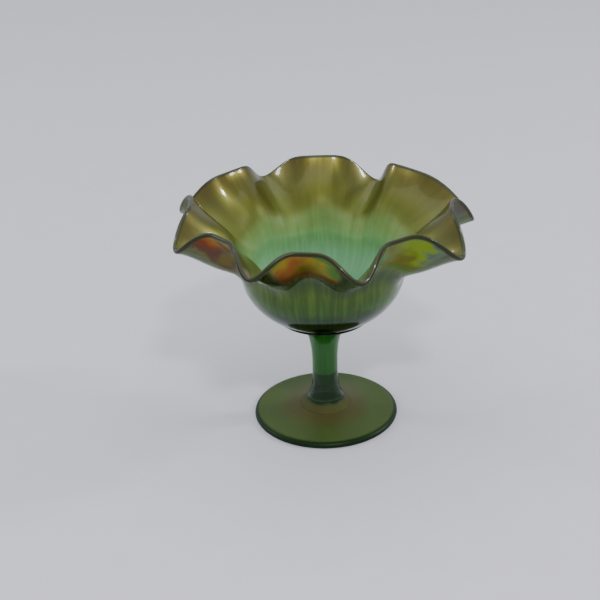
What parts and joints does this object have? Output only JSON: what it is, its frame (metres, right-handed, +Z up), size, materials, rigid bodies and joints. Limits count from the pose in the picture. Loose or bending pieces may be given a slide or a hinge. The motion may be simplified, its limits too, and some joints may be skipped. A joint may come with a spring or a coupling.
{
  "type": "footed glass bowl",
  "caption": "Footed bowl of iridescent green pressed glass, with a deep round cup, a flared crimped rim, a waisted stem and a flat round foot that it stands on.",
  "frame": {"origin": "centre of the foot's flat underside, where the stem's axis meets the table", "axes": "+Z up along the stem's axis; -Y towards the front, where a crest of the rim stands almost in the middle; +X to the right seen from the front"},
  "size_m": [0.1442, 0.1343, 0.1166],
  "materials": {
    "foot_glass": "satin iridised, moss green with a brown bloom round the stem",
    "stem_glass": "clear green, polished",
    "merese_glass": "clear dark green, polished",
    "bowl_glass": "iridised, satin olive gold inside and glossy green with orange and violet under the rim"
  },
  "bodies": {
    "root": {"foot": "foot_glass", "stem": "stem_glass", "merese": "merese_glass", "bowl": "bowl_glass"}
  },
  "joints": []
}
